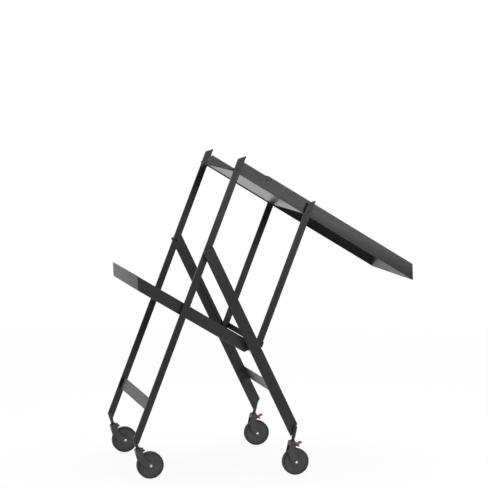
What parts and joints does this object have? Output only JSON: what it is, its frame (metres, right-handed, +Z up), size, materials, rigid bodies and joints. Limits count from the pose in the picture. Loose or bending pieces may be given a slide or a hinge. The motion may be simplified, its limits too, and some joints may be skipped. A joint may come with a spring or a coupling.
{
  "type": "folding serving trolley",
  "caption": "Black folding two-tier serving trolley, half folded, with crossed bar legs, sheet metal trays and swivel castors with red brake levers on one end.",
  "frame": {"origin": "middle of the half-folded trolley's outline on the floor, under the castors", "axes": "+Z up; +X from the end with the hand recess towards the far end of the deck; Y across, symmetric; right is -Y"},
  "size_m": [0.8572, 0.48, 0.9472],
  "materials": {
    "frame_enamel": "fine textured semi-matt black powder coat",
    "tray_enamel": "smooth semi-matt black coat",
    "castor_nylon": "moulded black nylon",
    "tyre_rubber": "black rubber",
    "zinc_steel": "bright zinc plate",
    "red_nylon": "moulded red nylon",
    "black_nylon": "turned black nylon"
  },
  "bodies": {
    "long_leg_frame": {"long_leg_right": "frame_enamel", "long_leg_left": "frame_enamel", "long_leg_crossbar": "frame_enamel", "long_leg_stems": "frame_enamel", "fold_pins": "frame_enamel", "fold_washers": "black_nylon", "table_pins": "frame_enamel", "table_washers": "black_nylon", "table_clips": "frame_enamel", "tray_pins": "frame_enamel", "tray_spacers": "black_nylon", "tray_clips": "frame_enamel"},
    "short_leg_frame": {"short_leg_right": "frame_enamel", "short_leg_left": "frame_enamel", "short_leg_crossbar": "frame_enamel", "short_leg_stems": "frame_enamel"},
    "table": {"table_deck": "tray_enamel", "hinge_plate": "tray_enamel", "deck_rivets": "frame_enamel"},
    "tray": {"lower_tray": "tray_enamel", "tray_hinge_ears": "frame_enamel"},
    "strut_frame": {"strut_right": "frame_enamel", "strut_left": "frame_enamel", "strut_crossplate": "frame_enamel", "strut_pins": "frame_enamel", "strut_washers": "black_nylon", "strut_clips": "frame_enamel", "slider_pins": "frame_enamel", "slider_washers": "black_nylon", "slider_rollers": "black_nylon"},
    "long_right_castor": {"long_right_fork": "castor_nylon", "long_right_axle": "zinc_steel"},
    "long_right_roller": {"long_right_wheel": "castor_nylon", "long_right_tyre": "tyre_rubber"},
    "long_left_castor": {"long_left_fork": "castor_nylon", "long_left_axle": "zinc_steel"},
    "long_left_roller": {"long_left_wheel": "castor_nylon", "long_left_tyre": "tyre_rubber"},
    "short_right_castor": {"short_right_fork": "castor_nylon", "short_right_axle": "zinc_steel", "right_brake_pin": "zinc_steel"},
    "short_right_roller": {"short_right_wheel": "castor_nylon", "short_right_tyre": "tyre_rubber"},
    "right_brake": {"right_brake_lever": "red_nylon"},
    "short_left_castor": {"short_left_fork": "castor_nylon", "short_left_axle": "zinc_steel", "left_brake_pin": "zinc_steel"},
    "short_left_roller": {"short_left_wheel": "castor_nylon", "short_left_tyre": "tyre_rubber"},
    "left_brake": {"left_brake_lever": "red_nylon"}
  },
  "joints": [
    {"name": "table_fold", "type": "hinge", "parent": "long_leg_frame", "child": "table", "pos_m": [-0.12253, 0, 0.91041], "axis": [0, -1, 0], "range_deg": [-45, 47.7]},
    {"name": "tray_fold", "type": "hinge", "parent": "long_leg_frame", "child": "tray", "pos_m": [-0.2759, 0, 0.49801], "axis": [0, -1, 0], "range_deg": [-45, 47.7]},
    {"name": "strut_fold", "type": "hinge", "parent": "table", "child": "strut_frame", "pos_m": [0.0931, 0, 0.7839], "axis": [0, -1, 0], "range_deg": [-47.7, 45]},
    {"name": "short_leg_fold", "type": "hinge", "parent": "long_leg_frame", "child": "short_leg_frame", "pos_m": [-0.21455, 0, 0.66297], "axis": [0, -1, 0], "range_deg": [-27, 28.62]},
    {"name": "long_right_swivel", "type": "hinge", "parent": "long_leg_frame", "child": "long_right_castor", "pos_m": [-0.41239, -0.1935, 0.09104], "axis": [-0.2974, 0, 0.9548], "continuous": true},
    {"name": "long_right_roll", "type": "hinge", "parent": "long_right_castor", "child": "long_right_roller", "pos_m": [-0.3745, -0.1935, 0.04], "axis": [0, 1, 0], "continuous": true},
    {"name": "long_left_swivel", "type": "hinge", "parent": "long_leg_frame", "child": "long_left_castor", "pos_m": [-0.41239, 0.1935, 0.09104], "axis": [-0.2974, 0, 0.9548], "continuous": true},
    {"name": "long_left_roll", "type": "hinge", "parent": "long_left_castor", "child": "long_left_roller", "pos_m": [-0.3745, 0.1935, 0.04], "axis": [0, 1, 0], "continuous": true},
    {"name": "short_right_swivel", "type": "hinge", "parent": "short_leg_frame", "child": "short_right_castor", "pos_m": [0.05111, -0.224, 0.10295], "axis": [0.1959, 0, 0.9806], "continuous": true},
    {"name": "short_right_roll", "type": "hinge", "parent": "short_right_castor", "child": "short_right_roller", "pos_m": [0.05994, -0.224, 0.04], "axis": [0, 1, 0], "continuous": true},
    {"name": "right_brake_press", "type": "hinge", "parent": "short_right_castor", "child": "right_brake", "pos_m": [0.06307, -0.224, 0.09138], "axis": [0, 1, 0], "range_deg": [0, 22]},
    {"name": "short_left_swivel", "type": "hinge", "parent": "short_leg_frame", "child": "short_left_castor", "pos_m": [0.05111, 0.224, 0.10295], "axis": [0.1959, 0, 0.9806], "continuous": true},
    {"name": "short_left_roll", "type": "hinge", "parent": "short_left_castor", "child": "short_left_roller", "pos_m": [0.05994, 0.224, 0.04], "axis": [0, 1, 0], "continuous": true},
    {"name": "left_brake_press", "type": "hinge", "parent": "short_left_castor", "child": "left_brake", "pos_m": [0.06307, 0.224, 0.09138], "axis": [0, 1, 0], "range_deg": [0, 22]}
  ],
  "couplings": [
    {"joint": "tray_fold", "follows": "table_fold", "ratio": 1},
    {"joint": "strut_fold", "follows": "table_fold", "ratio": -1},
    {"joint": "short_leg_fold", "follows": "table_fold", "ratio": 0.6}
  ]
}
